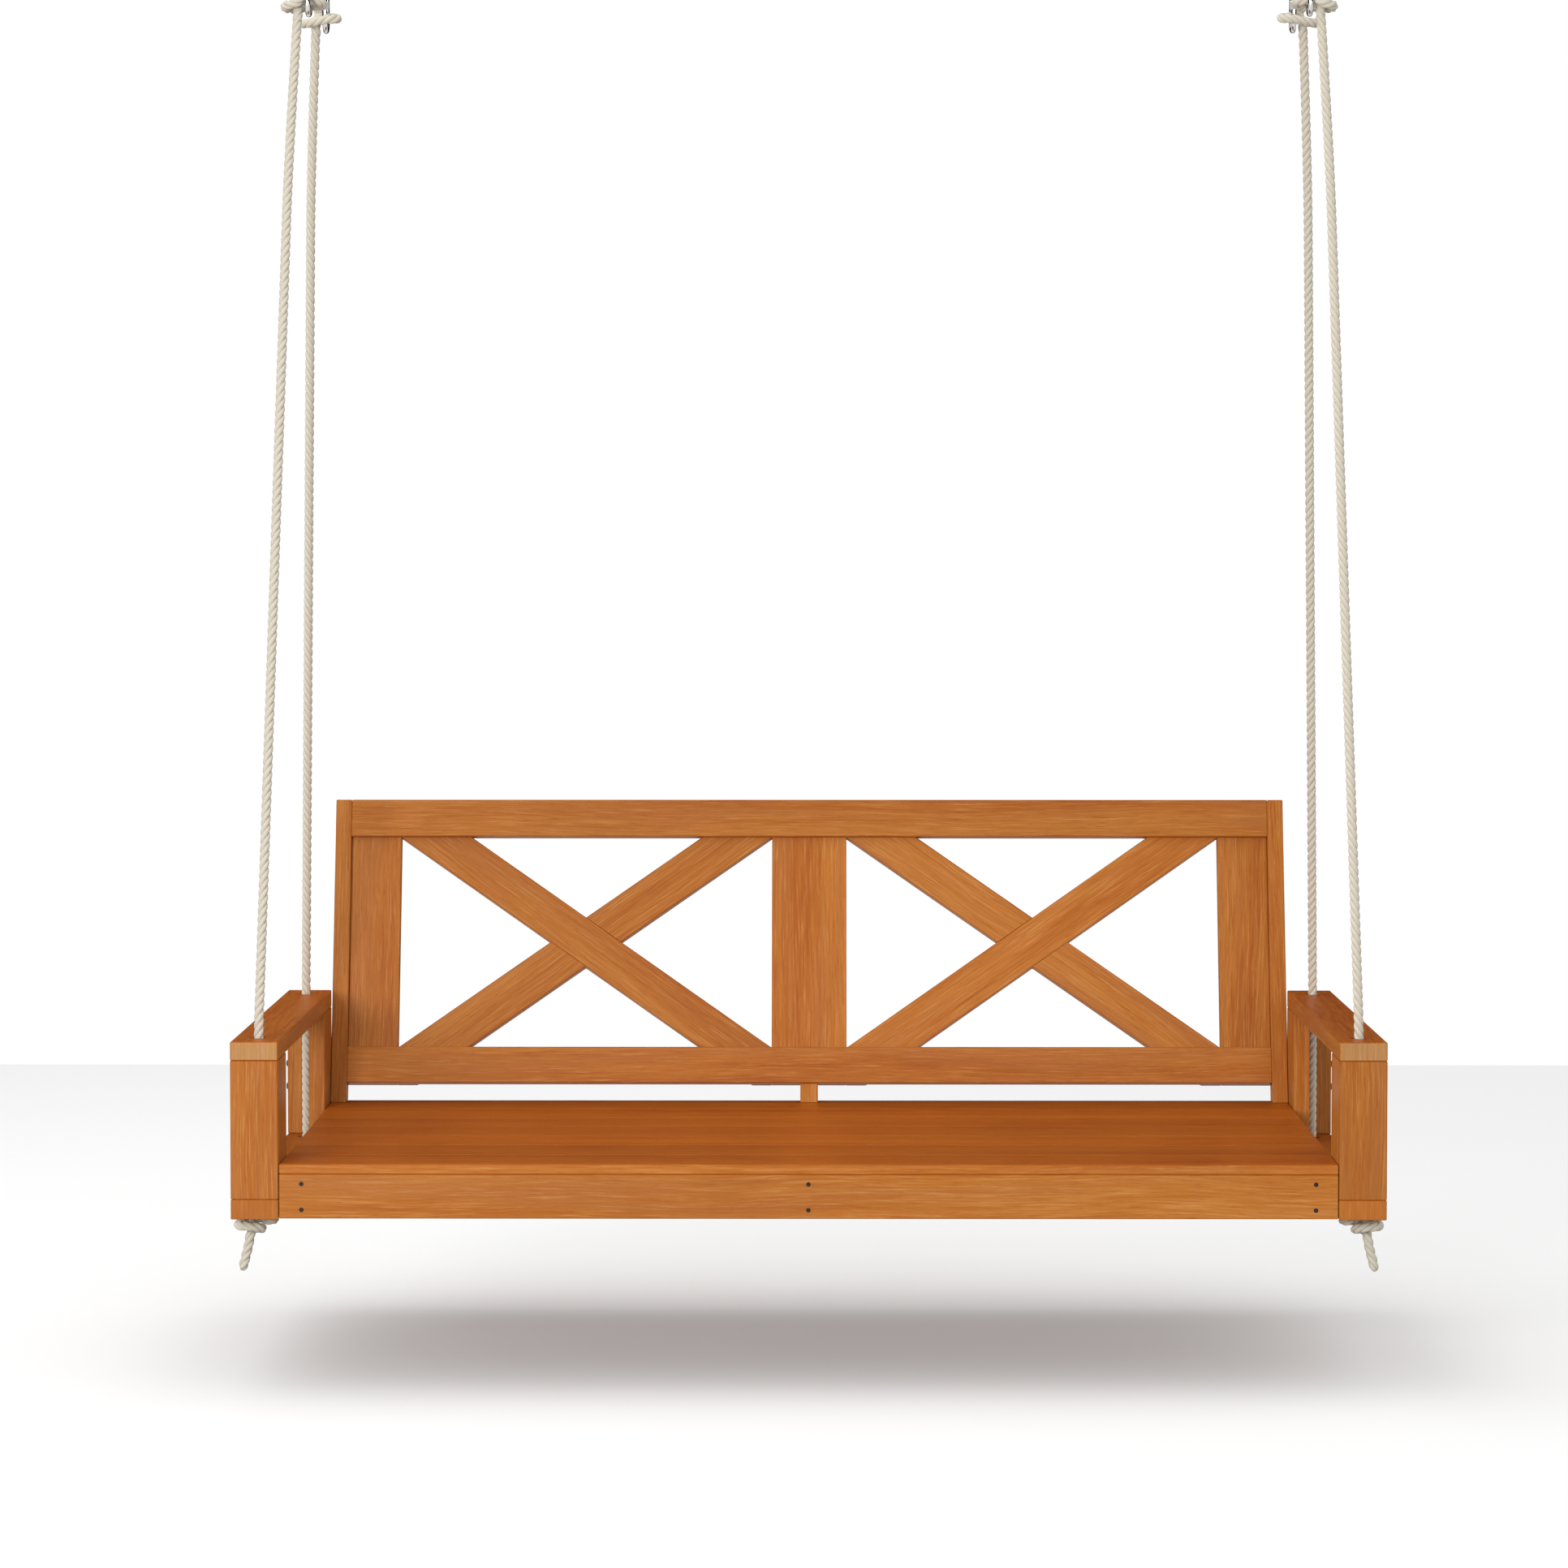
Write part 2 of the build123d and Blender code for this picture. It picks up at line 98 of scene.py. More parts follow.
class Tree:
    """A short way to write a node tree."""

    def __init__(self, tree: bpy.types.NodeTree) -> None:
        """Keeps the tree that the calls add to.

        Args:
            tree: the node tree of a material or a world.
        """
        self.tree = tree

    def add(self, kind: str, inputs: dict | None = None, **settings: object) -> bpy.types.Node:
        """Adds one node.

        Args:
            kind: the node's type name in Blender.
            inputs: values or output sockets, by the input's name or number.
            settings: the node's own properties.

        Returns:
            The new node.
        """
        node = self.tree.nodes.new(kind)
        for key, value in settings.items():
            setattr(node, key, value)
        for key, value in (inputs or {}).items():
            if isinstance(value, bpy.types.NodeSocket):
                self.tree.links.new(value, node.inputs[key])
            else:
                node.inputs[key].default_value = value
        return node

    def math(self, operation: str, a: object, b: object = 0.0) -> bpy.types.NodeSocket:
        """The result of one operation on two numbers or sockets."""
        return self.add("ShaderNodeMath", {0: a, 1: b}, operation=operation).outputs[0]

    def mix(self, factor: object, a: object, b: object, blend: str = "MIX") -> bpy.types.NodeSocket:
        """The colour between two colours.

        Args:
            factor: how much of the second colour, from 0 to 1.
            a: the first colour.
            b: the second colour.
            blend: how the second colour is laid over the first.

        Returns:
            The mixed colour's socket.
        """
        node = self.add("ShaderNodeMix", data_type="RGBA", blend_type=blend)
        for key, value in (("Factor", factor), ("A", a), ("B", b)):
            wanted = "VALUE" if key == "Factor" else "RGBA"
            socket = next(s for s in node.inputs if s.name == key and s.type == wanted)
            if isinstance(value, bpy.types.NodeSocket):
                self.tree.links.new(value, socket)
            else:
                socket.default_value = value
        return next(s for s in node.outputs if s.type == "RGBA")

    def ramp(self, factor: object, stops: Sequence[tuple[float, Colour]]) -> bpy.types.NodeSocket:
        """A colour ramp, read at a factor.

        Args:
            factor: where to read the ramp, from 0 to 1.
            stops: the place and the colour of each stop.

        Returns:
            The colour's socket.
        """
        node = self.add("ShaderNodeValToRGB", {0: factor})
        ramp = node.color_ramp
        while len(ramp.elements) < len(stops):
            ramp.elements.new(0.5)
        for element, (place, colour) in zip(ramp.elements, stops):
            element.position = place
            element.color = colour
        return node.outputs["Color"]

    def spread(
        self, value: object, low: float, high: float, to_low: float, to_high: float
    ) -> bpy.types.NodeSocket:
        """A value carried from one range into another, held at its ends."""
        node = self.add("ShaderNodeMapRange", {0: value, 1: low, 2: high, 3: to_low, 4: to_high})
        return node.outputs[0]

    def noise(
        self, place: object, scale: float, detail: float, roughness: float = 0.55
    ) -> bpy.types.NodeSocket:
        """A noise value at a place."""
        node = self.add(
            "ShaderNodeTexNoise", {"Vector": place, "Scale": scale, "Detail": detail, "Roughness": roughness}
        )
        return node.outputs[0]


def shade(colour: Sequence[float], amount: float) -> Colour:
    """A colour made lighter or darker by a factor."""
    return (colour[0] * amount, colour[1] * amount, colour[2] * amount, 1.0)


def new_material(name: str) -> tuple[bpy.types.Material, Tree, bpy.types.Node]:
    """An empty node material.

    Args:
        name: the material's name.

    Returns:
        The material, its tree and its Principled shader.
    """
    material = bpy.data.materials.new(name)
    material.use_nodes = True
    tree = Tree(material.node_tree)
    shader = material.node_tree.nodes["Principled BSDF"]
    return material, tree, shader


# ---------------------------------------------------------------- finishes


@dataclass(frozen=True)
class OiledHardwood:
    """Straight-grained amber hardwood under a thin oil film."""

    dark: Rgb = (0.350, 0.090, 0.0080)
    middle: Rgb = (0.440, 0.146, 0.0190)
    light: Rgb = (0.520, 0.204, 0.0400)
    streak: Rgb = (0.24, 0.046, 0.003)
    patch: Rgb = (0.390, 0.130, 0.0300)
    chalk: Rgb = (0.60, 0.29, 0.11)
    end_grain: Rgb = (0.50, 0.19, 0.04)
    end_base: Rgb = (0.43, 0.130, 0.016)
    # painted shade for faces that look up, multiplied over them so that the tops read darker and browner than
    # the sides
    top_painted_shade: Rgb = (0.85, 0.62, 0.13)
    roughness: float = 0.46
    gloss: float = 0.15
    film: float = 0.05
    film_roughness: float = 0.32
    wander: float = 0.05            # how far the grain strays sideways in all, in metres
    relief: float = 0.4 * MM        # depth of the grain's bump
    recline_deg: float = 15.28
    brace_deg: float = 35.4

    def axes(self, grain: Grain) -> Matrix:
        """The rotation that turns the frame so that X runs along the grain and Z out of the face.

        Args:
            grain: which way the board's grain runs.

        Returns:
            A rotation whose rows are the along, across and outward directions.
        """
        lean = math.radians(self.recline_deg)
        up = Vector((0.0, math.sin(lean), math.cos(lean)))
        out = Vector((0.0, -math.cos(lean), math.sin(lean)))
        side = Vector((1.0, 0.0, 0.0))
        turn = math.radians(self.brace_deg)
        along, normal = {
            Grain.ACROSS: (side, Vector((0, -1, 0))),
            Grain.DEPTH: (Vector((0, 1, 0)), Vector((0, 0, 1))),
            Grain.UPRIGHT: (Vector((0, 0, 1)), Vector((0, -1, 0))),
            Grain.SLOPE: (up, out),
            Grain.BACK_ACROSS: (side, out),
            Grain.RISING: (side * math.cos(turn) + up * math.sin(turn), out),
            Grain.FALLING: (side * math.cos(turn) - up * math.sin(turn), out),
        }[grain]
        return Matrix((along, normal.cross(along), normal))

    def material(self, name: str, grain: Grain, seed: int, tone: float) -> bpy.types.Material:
        """One board's own material, so that no two boards show the same figure.

        Args:
            name: the material's name.
            grain: which way the board's grain runs.
            seed: a whole number that moves the figure.
            tone: how light this board is, about 1.

        Returns:
            The material.
        """
        material, t, shader = new_material(name)
        shift = Vector((3.7 * seed % 11, 1.9 * seed % 7, 2.3 * seed % 5))
        place = t.add("ShaderNodeTexCoord").outputs["Object"]
        turn = {"Vector": place, "Rotation": self.axes(grain).to_euler(), "Location": shift}
        turned = t.add("ShaderNodeMapping", turn).outputs[0]
        wander = t.noise(turned, 1.3, 2.0)
        sideways = t.math("MULTIPLY", t.math("SUBTRACT", wander, 0.5), self.wander)
        bend = t.add("ShaderNodeCombineXYZ", {1: sideways}).outputs[0]
        line = t.add("ShaderNodeVectorMath", {0: turned, 1: bend}, operation="ADD").outputs[0]

        def stretched(along: float, across: float) -> bpy.types.NodeSocket:
            """The place, stretched along the grain."""
            inputs = {"Vector": line, "Scale": (along, across, across)}
            return t.add("ShaderNodeMapping", inputs, vector_type="POINT").outputs[0]

        broad = t.noise(stretched(0.9, 14.0), 1.0, 3.0)
        bands = t.noise(stretched(3.0, 90.0), 1.0, 4.0, 0.6)
        streaks = t.noise(stretched(14.0, 400.0), 1.0, 3.0, 0.65)
        pores = t.noise(stretched(36.0, 1000.0), 1.0, 2.0, 0.6)
        figure = t.math("MULTIPLY", t.spread(broad, 0.3, 0.7, 0.0, 1.0), 0.34)
        for layer, low, share in ((bands, 0.30, 0.30), (streaks, 0.30, 0.36)):
            level = t.spread(layer, low, 1.0 - low, 0.0, 1.0)
            figure = t.math("ADD", figure, t.math("MULTIPLY", level, share))
        stops = ((0.20, self.dark), (0.50, self.middle), (0.80, self.light))
        base = t.ramp(figure, [(stop, shade(colour, tone)) for stop, colour in stops])
        patches = t.noise(stretched(0.8, 11.0), 2.3, 2.0)
        base = t.mix(t.spread(patches, 0.50, 0.68, 0.0, 0.55), base, shade(self.patch, tone))
        base = t.mix(t.spread(bands, 0.58, 0.72, 0.0, 0.35), base, shade(self.streak, tone))
        base = t.mix(t.spread(pores, 0.57, 0.70, 0.0, 0.50), base, shade(self.streak, tone))
        base = t.mix(t.spread(streaks, 0.56, 0.70, 0.0, 0.34), base, shade(self.chalk, tone))
        normal = t.add("ShaderNodeTexCoord").outputs["Normal"]
        along = t.add("ShaderNodeVectorMath", {0: normal, 1: self.axes(grain)[0]}, operation="DOT_PRODUCT")
        cut = t.math("ABSOLUTE", along.outputs["Value"])
        base = t.mix(t.spread(cut, 0.80, 0.97, 0.0, 0.85), base, self.cut_ends(t, place, tone))
        # Painted shade: faces that look up are multiplied by the upward shade colour. This makes them darker
        # and browner than the sides, standing in for how the light falls.
        top_shade_mask = t.add("ShaderNodeSeparateXYZ", {0: normal}).outputs["Z"]
        base = t.mix(t.spread(top_shade_mask, 0.45, 0.65, 0.0, 1.0), base, (*self.top_painted_shade, 1.0), "MULTIPLY")
        t.tree.links.new(base, shader.inputs["Base Color"])
        rough = t.spread(streaks, 0.2, 0.8, self.roughness - 0.06, self.roughness + 0.08)
        t.tree.links.new(rough, shader.inputs["Roughness"])
        relief = t.math("ADD", t.math("MULTIPLY", streaks, 0.6), t.math("MULTIPLY", pores, -0.5))
        bump = t.add("ShaderNodeBump", {"Height": relief, "Strength": 0.22, "Distance": self.relief})
        t.tree.links.new(bump.outputs[0], shader.inputs["Normal"])
        shader.inputs["Coat Weight"].default_value = self.film
        shader.inputs["Coat Roughness"].default_value = self.film_roughness
        shader.inputs["Specular IOR Level"].default_value = self.gloss
        return material

    def cut_ends(self, t: Tree, place: bpy.types.NodeSocket, tone: float) -> bpy.types.NodeSocket:
        """The colour of a board's cut ends.

        Args:
            t: the material's tree.
            place: the place on the board.
            tone: how light this board is, about 1.

        Returns:
            The colour's socket.
        """
        upright = t.add("ShaderNodeMapping", {"Vector": place, "Scale": (300.0, 300.0, 14.0)}).outputs[0]
        stops = [
            (0.30, shade(self.end_base, 0.85 * tone)),
            (0.52, shade(self.end_base, tone)),
            (0.70, shade(self.end_grain, tone)),
        ]
        return t.ramp(t.noise(upright, 1.0, 4.0, 0.6), stops)


@dataclass(frozen=True)
class CottonRope:
    """Cream three-strand rope, with painted shade that makes it browner down in the creases between its
    strands.
    """

    crest: Colour = (0.610, 0.560, 0.460, 1.0)
    flank: Colour = (0.600, 0.540, 0.430, 1.0)
    # painted shade: the browner colour laid down in the creases between the strands
    crease_shade: Colour = (0.520, 0.360, 0.190, 1.0)
    yarn: Colour = (0.72, 0.67, 0.56, 1.0)
    yarn_slant: float = 0.62        # of the yarns across a strand, in radians
    roughness: float = 0.86

    def material(self) -> bpy.types.Material:
        """The rope's material, which reads each strand's own UV map and its depth in the rope, the mask of
        its painted crease shade.
        """
        material, t, shader = new_material("cotton_rope")
        uv = t.add("ShaderNodeUVMap", uv_map="strand").outputs[0]
        slanted = t.add("ShaderNodeMapping", {"Vector": uv, "Rotation": (0, 0, self.yarn_slant)}).outputs[0]
        yarns = t.add(
            "ShaderNodeTexWave",
            {
                "Vector": slanted,
                "Scale": 2.4,
                "Distortion": 2.2,
                "Detail": 3.0,
                "Detail Scale": 2.0,
            },
        ).outputs["Fac"]
        fluff = t.noise(t.add("ShaderNodeTexCoord").outputs["Object"], 900.0, 4.0, 0.7)
        depth = t.add("ShaderNodeAttribute", attribute_name="depth").outputs["Fac"]
        # Painted shade: by the point's depth in the rope, the colour darkens from the crest colour to the
        # browner crease shade down in the creases.
        colour = t.ramp(depth, [(0.02, self.crease_shade), (0.20, self.flank), (0.55, self.crest)])
        colour = t.mix(t.spread(fluff, 0.35, 0.75, 0.0, 0.10), colour, self.flank)
        colour = t.mix(t.math("MULTIPLY", yarns, 0.07), colour, self.yarn)
        t.tree.links.new(colour, shader.inputs["Base Color"])
        relief = t.math("ADD", t.math("MULTIPLY", yarns, 0.8), t.math("MULTIPLY", fluff, 0.3))
        bump = t.add("ShaderNodeBump", {"Height": relief, "Strength": 0.35, "Distance": 0.0005})
        t.tree.links.new(bump.outputs[0], shader.inputs["Normal"])
        shader.inputs["Roughness"].default_value = self.roughness
        shader.inputs["Sheen Weight"].default_value = 0.15
        shader.inputs["Sheen Roughness"].default_value = 0.5
        shader.inputs["Specular IOR Level"].default_value = 0.2
        return material


@dataclass(frozen=True)
class Metal:
    """A plain metal finish with faint handling marks."""

    name: str
    colour: Colour
    roughness: float
    metallic: float

    def material(self) -> bpy.types.Material:
        """The metal's material."""
        material, t, shader = new_material(self.name)
        place = t.add("ShaderNodeTexCoord").outputs["Object"]
        marks = t.noise(place, 160.0, 5.0, 0.65)
        spots = t.noise(place, 35.0, 3.0)
        colour = t.mix(t.spread(spots, 0.4, 0.7, 0.0, 0.25), self.colour, shade(self.colour, 0.7))
        t.tree.links.new(colour, shader.inputs["Base Color"])
        rough = t.spread(marks, 0.3, 0.8, self.roughness * 0.7, self.roughness * 1.5)
        t.tree.links.new(rough, shader.inputs["Roughness"])
        shader.inputs["Metallic"].default_value = self.metallic
        return material


# ---------------------------------------------------------------- timber


@dataclass
class Timber:
    """Every wooden board of the bench, each with its own figure and tone."""

    finish: OiledHardwood = OiledHardwood()
    seat_finish: OiledHardwood = OiledHardwood(
        middle=(0.450, 0.138, 0.0170),
        light=(0.530, 0.190, 0.0320),
        roughness=0.40,
    )
    arm_finish: OiledHardwood = OiledHardwood(end_grain=(0.49, 0.30, 0.15), end_base=(0.46, 0.23, 0.08))
    tone: float = 0.94              # of a board of middling colour
    tone_spread: float = 0.055      # how far boards stray from it
    tone_turn: float = 2.399        # the golden angle, so that neighbours differ

    def grain_of(self, node: str) -> Grain:
        """Which way the grain of a board runs.

        Args:
            node: the board's name.

        Returns:
            The direction of its grain.
        """
        rules = (
            (("seat_plank", "apron"), Grain.ACROSS),
            (("arm_board", "arm_sill", "bearer"), Grain.DEPTH),
            (("post_",), Grain.UPRIGHT),
            (("back_rail",), Grain.BACK_ACROSS),
            (("back_post", "back_stile", "back_support"), Grain.SLOPE),
            (("brace_fore_left", "brace_lapped_right"), Grain.FALLING),
            (("brace_fore_right", "brace_lapped_left"), Grain.RISING),
        )
        for starts, grain in rules:
            if node.startswith(starts):
                return grain
        raise ValueError(f"{node} is not a board")

    def dress(self, nodes: dict[str, bpy.types.Object]) -> int:
        """Gives every board its material.

        Args:
            nodes: the part's nodes by name.

        Returns:
            How many boards were dressed.
        """
        boards = [n for n in sorted(nodes) if self.is_board(n)]
        for number, name in enumerate(boards, start=1):
            tone = self.tone + self.tone_spread * math.sin(self.tone_turn * number)
            material = self.finish_of(name).material(f"wood_{name}", self.grain_of(name), number, tone)
            put_material(nodes[name], material)
        return len(boards)

    def finish_of(self, node: str) -> OiledHardwood:
        """The finish of a board: the seat's, an arm board's or the common one."""
        if node.startswith("seat_plank"):
            return self.seat_finish
        return self.arm_finish if node.startswith("arm_board") else self.finish

    @staticmethod
    def is_board(node: str) -> bool:
        """Whether a node is one of the wooden boards."""
        starts = ("seat_plank", "apron_front", "apron_rear", "arm_", "bearer", "post_", "back_", "brace_")
        return node.startswith(starts) and "screws" not in node


def put_material(piece: bpy.types.Object, material: bpy.types.Material) -> None:
    """Gives a piece one material in place of those it has."""
    slots = piece.data.materials
    if len(slots) == 0:
        slots.append(material)
    for index in range(len(slots)):
        slots[index] = material


# ---------------------------------------------------------------- ropes


@dataclass(frozen=True)
class Twist:
    """How a rope is laid up: its thickness, its strands and how far one turn of a strand runs along it."""

    diameter: float = 14.0 * MM
    lay: float = 37.0 * MM
    strands: int = 3
    around: int = 14                # points round a strand
    step: float = 2.3 * MM          # from ring to ring along a rope
    knot_step: float = 1.6 * MM     # and along a knot
    press: float = 1.035            # strands press into each other by this share
    outward: float = 0.97           # a strand's section, out of the rope
    sideways: float = 1.06          # and along the rope's surface
    yarns: int = 6                  # ridges round a strand
    yarn_height: float = 0.012      # of the strand's radius
    yarn_turn: float = 190.0        # radians a metre
    end_draw: float = 0.55          # how much a cut end narrows
    end_power: float = 2.2          # and how suddenly
    crease_shade: float = 0.45            # depth 0, where the painted crease shade is deepest, lies at this share of the rope's radius
    uv_scale: float = 0.01          # metres of rope to one unit of the map
    uv_around: float = 2.2          # units of the map round a strand
    cap: float = 0.35               # height of a strand's domed end, of its radius

    @property
    def strand_radius(self) -> float:
        """The radius of one strand, when the strands touch each other."""
        return self.diameter / 2 / (1 + 1 / math.sin(math.pi / self.strands)) * self.press

    @property
    def strand_offset(self) -> float:
        """How far a strand's own centreline runs from the rope's."""
        return self.diameter / 2 - self.strand_radius


class Route:
    """A smooth line through space, from a spline whose control points are given."""

    def __init__(self, name: str, points: Sequence[Point]) -> None:
        """Reads the line of a spline with these control points.

        Args:
            name: a name for the helper curve.
            points: the control points, in metres.
        """
        curve = bpy.data.curves.new(f"{name}_route", "CURVE")
        curve.dimensions = "3D"
        curve.resolution_u = 24
        spline = curve.splines.new("NURBS")
        spline.points.add(len(points) - 1)
        for control, point in zip(spline.points, points):
            control.co = (*point, 1.0)
        spline.order_u = 3
        spline.use_endpoint_u = True
        helper = bpy.data.objects.new(f"{name}_route", curve)
        bpy.context.scene.collection.objects.link(helper)
        evaluated = helper.evaluated_get(bpy.context.evaluated_depsgraph_get())
        line = bpy.data.meshes.new_from_object(evaluated)
        raw = np.array([v.co for v in line.vertices], float)
        bpy.data.objects.remove(helper)
        bpy.data.curves.remove(curve)
        bpy.data.meshes.remove(line)
        keep = np.concatenate([[True], np.linalg.norm(np.diff(raw, axis=0), axis=1) > 1e-7])
        self.raw = raw[keep]

    def even(self, step: float) -> np.ndarray:
        """Points an even step apart along the line.

        Args:
            step: the wanted distance between points, in metres.

        Returns:
            An array of points.
        """
        runs = np.linalg.norm(np.diff(self.raw, axis=0), axis=1)
        along = np.concatenate([[0.0], np.cumsum(runs)])
        count = max(8, int(round(along[-1] / step)) + 1)
        wanted = np.linspace(0.0, along[-1], count)
        return np.stack([np.interp(wanted, along, self.raw[:, k]) for k in range(3)], axis=1)

    @property
    def length(self) -> float:
        """The line's length, in metres."""
        return float(np.linalg.norm(np.diff(self.raw, axis=0), axis=1).sum())


def frames_along(points: np.ndarray) -> tuple[np.ndarray, np.ndarray, np.ndarray]:
    """Directions that follow a line without twisting round it.

    Args:
        points: points along the line.

    Returns:
        The line's direction, and two directions square to it, at each point.
    """
    along = np.gradient(points, axis=0)
    along /= np.linalg.norm(along, axis=1)[:, None]
    first = np.cross(along[0], (0.0, 1.0, 0.0))
    if np.linalg.norm(first) < 0.1:
        first = np.cross(along[0], (1.0, 0.0, 0.0))
    sides = [first / np.linalg.norm(first)]
    for index in range(1, len(points)):
        side = sides[-1] - along[index] * np.dot(sides[-1], along[index])
        sides.append(side / np.linalg.norm(side))
    side = np.array(sides)
    return along, side, np.cross(along, side)


class RopeMaker:
    """Lays up three-strand rope along a route."""

    def __init__(self, twist: Twist, material: bpy.types.Material) -> None:
        """Keeps the lay-up and the finish.

        Args:
            twist: how the rope is laid up.
            material: the rope's material.
        """
        self.twist = twist
        self.material = material

    def build(
        self, name: str, points: np.ndarray, hand: int, taper: tuple[float, float] = (0, 0)
    ) -> bpy.types.Object:
        """Makes one piece of rope.

        Args:
            name: the piece's name.
            points: points an even step apart along its centreline.
            hand: 1 or -1, the way its strands turn.
            taper: how far each end is drawn in, in metres, 0 for an end that is hidden.

        Returns:
            The new object.
        """
        twist = self.twist
        along, side, other = frames_along(points)
        runs = np.linalg.norm(np.diff(points, axis=0), axis=1)
        distance = np.concatenate([[0.0], np.cumsum(runs)])
        draw = self.narrowing(distance, taper)
        vertices, faces, uvs, depths = [], [], [], []
        ring = np.linspace(0.0, 2 * math.pi, twist.around, endpoint=False)
        for strand in range(twist.strands):
            phase = hand * 2 * math.pi * distance / twist.lay + 2 * math.pi * strand / twist.strands
            radial = side * np.cos(phase)[:, None] + other * np.sin(phase)[:, None]
            centre = points + radial * (twist.strand_offset * draw)[:, None]
            heading = np.gradient(centre, axis=0)
            heading /= np.linalg.norm(heading, axis=1)[:, None]
            out = radial - heading * np.sum(radial * heading, axis=1)[:, None]
            out /= np.linalg.norm(out, axis=1)[:, None]
            flank = np.cross(heading, out)
            start = len(vertices)
            for index in range(len(points)):
                radius = twist.strand_radius * draw[index]
                for number, angle in enumerate(ring):
                    ridge = math.sin(twist.yarns * angle + hand * twist.yarn_turn * distance[index])
                    lift = radius * (1.0 + twist.yarn_height * ridge)
                    at = centre[index] + lift * (
                        out[index] * math.cos(angle) * twist.outward
                        + flank[index] * math.sin(angle) * twist.sideways
                    )
                    vertices.append(at)
                    reach = np.linalg.norm(at - points[index]) / (twist.diameter / 2 * draw[index])
                    # the point's depth in the rope, the mask of the painted crease shade
                    depths.append(min(1.0, max(0.0, (reach - twist.crease_shade) / (1.0 - twist.crease_shade))))
                    uvs.append((distance[index] / twist.uv_scale, number / twist.around * twist.uv_around))
            count = twist.around
            for index in range(len(points) - 1):
                a = start + index * count
                for number in range(count):
                    nxt = (number + 1) % count
                    faces.append((a + number, a + nxt, a + count + nxt, a + count + number))
            for index, turned in ((0, True), (len(points) - 1, False)):
                rim = [start + index * count + number for number in range(count)]
                tip = centre[index] + along[index] * (twist.strand_radius * twist.cap * (-1 if turned else 1))
                vertices.append(tip)
                depths.append(0.8)
                uvs.append((distance[index] / twist.uv_scale, 0.0))
                peak = len(vertices) - 1
                for number in range(count):
                    nxt = (number + 1) % count
                    faces.append((rim[nxt], rim[number], peak) if turned else (rim[number], rim[nxt], peak))
        return self.piece(name, vertices, faces, uvs, depths)

    def narrowing(self, distance: np.ndarray, taper: tuple[float, float]) -> np.ndarray:
        """How much the rope narrows towards its ends.

        Args:
            distance: how far each point lies along the rope.
            taper: how far each end is drawn in, in metres.

        Returns:
            The share of its full thickness at each point.
        """
        draw = np.ones(len(distance))
        for length, reach in zip(taper, (distance, distance[-1] - distance)):
            if length > 0:
                near = np.clip(1.0 - reach / length, 0.0, 1.0)
                draw *= 1.0 - self.twist.end_draw * near**self.twist.end_power
        return draw

    def piece(
        self, name: str, vertices: list, faces: list, uvs: list, depths: list
    ) -> bpy.types.Object:
        """The object of one piece of rope.

        Args:
            name: the piece's name.
            vertices: its points.
            faces: its faces, by the numbers of their points.
            uvs: the place of each point on its strand's map.
            depths: 0 for a point down in a crease, up to 1 on a crest, the mask of the painted crease shade.

        Returns:
            The new object.
        """
        mesh = bpy.data.meshes.new(name)
        mesh.from_pydata([tuple(v) for v in vertices], [], faces)
        mesh.polygons.foreach_set("use_smooth", [True] * len(mesh.polygons))
        layer = mesh.uv_layers.new(name="strand")
        vertex_of_loop = np.zeros(len(mesh.loops), int)
        mesh.loops.foreach_get("vertex_index", vertex_of_loop)
        layer.data.foreach_set("uv", np.array(uvs, np.float32)[vertex_of_loop].ravel())
        depth = mesh.attributes.new("depth", "FLOAT", "POINT")
        depth.data.foreach_set("value", np.array(depths, np.float32))
        mesh.update()
        piece = bpy.data.objects.new(name, mesh)
        bpy.context.scene.collection.objects.link(piece)
        put_material(piece, self.material)
        return piece


